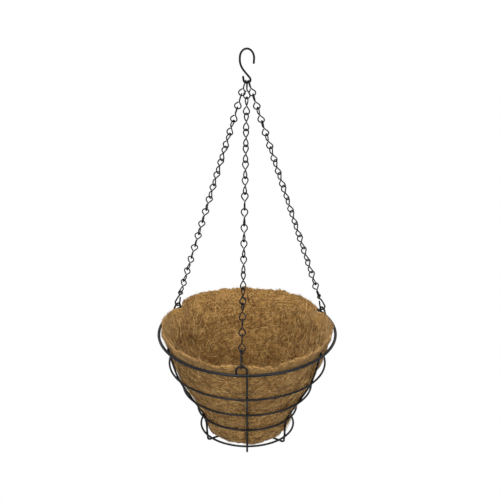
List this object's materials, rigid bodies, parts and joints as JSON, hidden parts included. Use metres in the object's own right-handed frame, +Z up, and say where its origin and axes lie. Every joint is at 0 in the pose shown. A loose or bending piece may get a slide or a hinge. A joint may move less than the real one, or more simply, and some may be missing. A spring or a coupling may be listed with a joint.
{
  "type": "hanging basket",
  "caption": "Cone-shaped wire hanging basket with a loose coconut-fibre liner, hung by jack chains and wire clips from an S-hook.",
  "frame": {"origin": "the spot inside the hook's upper bend that rests on its support", "axes": "+Z up along the line the basket hangs on, -Y towards the front chain, +X to the right; the hook is bent in the XZ plane"},
  "size_m": [0.305, 0.305, 0.7013],
  "materials": {
    "hook_wire": "satin black coating on steel wire",
    "chain_wire": "dark plated steel wire",
    "clip_wire": "satin black coating on steel wire",
    "frame_wire": "satin blue-black powder coat on steel wire",
    "coir": "matted coconut fibre, rough"
  },
  "bodies": {
    "hook": {"hook": "hook_wire"},
    "top_links": {"front_top_link": "chain_wire", "left_top_link": "chain_wire", "right_top_link": "chain_wire"},
    "frame": {"rim_ring": "frame_wire", "upper_hoop": "frame_wire", "middle_hoop": "frame_wire", "lower_hoop": "frame_wire", "base_ring": "frame_wire", "front_rib": "frame_wire", "left_rib": "frame_wire", "right_rib": "frame_wire"},
    "front_chain": {"front_chain": "chain_wire", "front_bottom_link": "chain_wire"},
    "front_clip": {"front_clip": "clip_wire"},
    "left_chain": {"left_chain": "chain_wire", "left_bottom_link": "chain_wire"},
    "left_clip": {"left_clip": "clip_wire"},
    "right_chain": {"right_chain": "chain_wire", "right_bottom_link": "chain_wire"},
    "right_clip": {"right_clip": "clip_wire"},
    "liner": {"liner": "coir"}
  },
  "joints": [
    {"name": "sway_fore_aft", "type": "hinge", "parent": "hook", "child": "top_links", "pos_m": [0, 0, -0.05542], "axis": [1, 0, 0], "range_deg": [-15, 15]},
    {"name": "basket_turn", "type": "hinge", "parent": "top_links", "child": "frame", "pos_m": [0, 0, -0.0559], "axis": [0, 0, 1], "range_deg": [-5, 5]},
    {"name": "front_chain_twist", "type": "hinge", "parent": "frame", "child": "front_chain", "pos_m": [0, -0.14579, -0.4909], "axis": [0, -0.3178, -0.9482], "range_deg": [-10, 10]},
    {"name": "front_clip_twist", "type": "hinge", "parent": "frame", "child": "front_clip", "pos_m": [0, -0.14579, -0.4909], "axis": [0, -0.3178, -0.9482], "range_deg": [-10, 10]},
    {"name": "left_chain_twist", "type": "hinge", "parent": "frame", "child": "left_chain", "pos_m": [-0.12626, 0.07289, -0.4909], "axis": [-0.2683, 0.1589, -0.9501], "range_deg": [-10, 10]},
    {"name": "left_clip_twist", "type": "hinge", "parent": "frame", "child": "left_clip", "pos_m": [-0.12626, 0.07289, -0.4909], "axis": [-0.2683, 0.1589, -0.9501], "range_deg": [-10, 10]},
    {"name": "right_chain_twist", "type": "hinge", "parent": "frame", "child": "right_chain", "pos_m": [0.12626, 0.07289, -0.4909], "axis": [0.2683, 0.1589, -0.9501], "range_deg": [-10, 10]},
    {"name": "right_clip_twist", "type": "hinge", "parent": "frame", "child": "right_clip", "pos_m": [0.12626, 0.07289, -0.4909], "axis": [0.2683, 0.1589, -0.9501], "range_deg": [-10, 10]},
    {"name": "liner_lift", "type": "slide", "parent": "frame", "child": "liner", "axis": [0, 0, 1], "range_m": [0, 0.006]}
  ]
}
